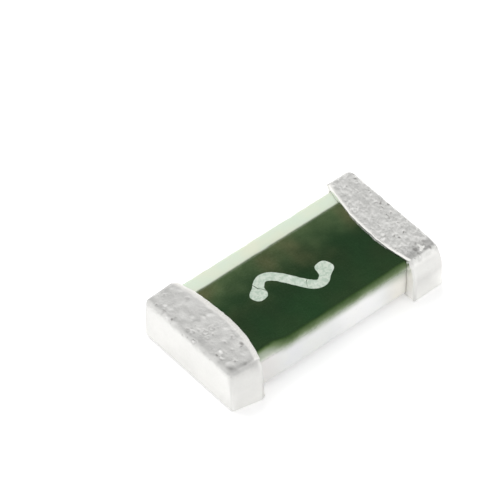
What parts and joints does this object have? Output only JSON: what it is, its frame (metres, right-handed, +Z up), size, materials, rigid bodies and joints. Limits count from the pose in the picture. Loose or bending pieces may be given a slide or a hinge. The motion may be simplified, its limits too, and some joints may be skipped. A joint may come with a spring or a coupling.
{
  "type": "surface-mount chip fuse",
  "caption": "Ceramic chip fuse with a green coat and tin-plated wraparound ends, made to be soldered flat on a board.",
  "frame": {"origin": "centre of the chip's footprint, on the plane of the board that its ends are soldered to", "axes": "+X along the chip from one wrapped end to the other, +Y across it towards the bare strip of ceramic, +Z up through the green coat"},
  "size_m": [0.0032, 0.0018, 0.0006],
  "materials": {
    "alumina": "fired alumina, fine matte grain, slightly translucent",
    "clear_glass": "fired glass glaze",
    "green_coat": "dark green glassy coat with faint mottling",
    "printed_silver": "fired silver paste",
    "fuse_alloy": "printed and fired metal film",
    "nickel": "plated nickel",
    "tin": "matte tin plating with a fine granular surface"
  },
  "bodies": {
    "root": {"substrate": "alumina", "heat_barrier_glaze": "clear_glass", "top_contact_left": "printed_silver", "top_contact_right": "printed_silver", "fuse_link": "fuse_alloy", "arc_quench_glass": "clear_glass", "green_overcoat": "green_coat", "bottom_contact_left": "printed_silver", "bottom_contact_right": "printed_silver", "silver_base_left": "printed_silver", "silver_base_right": "printed_silver", "nickel_barrier_left": "nickel", "nickel_barrier_right": "nickel", "tin_plating_left": "tin", "tin_plating_right": "tin"}
  },
  "joints": []
}
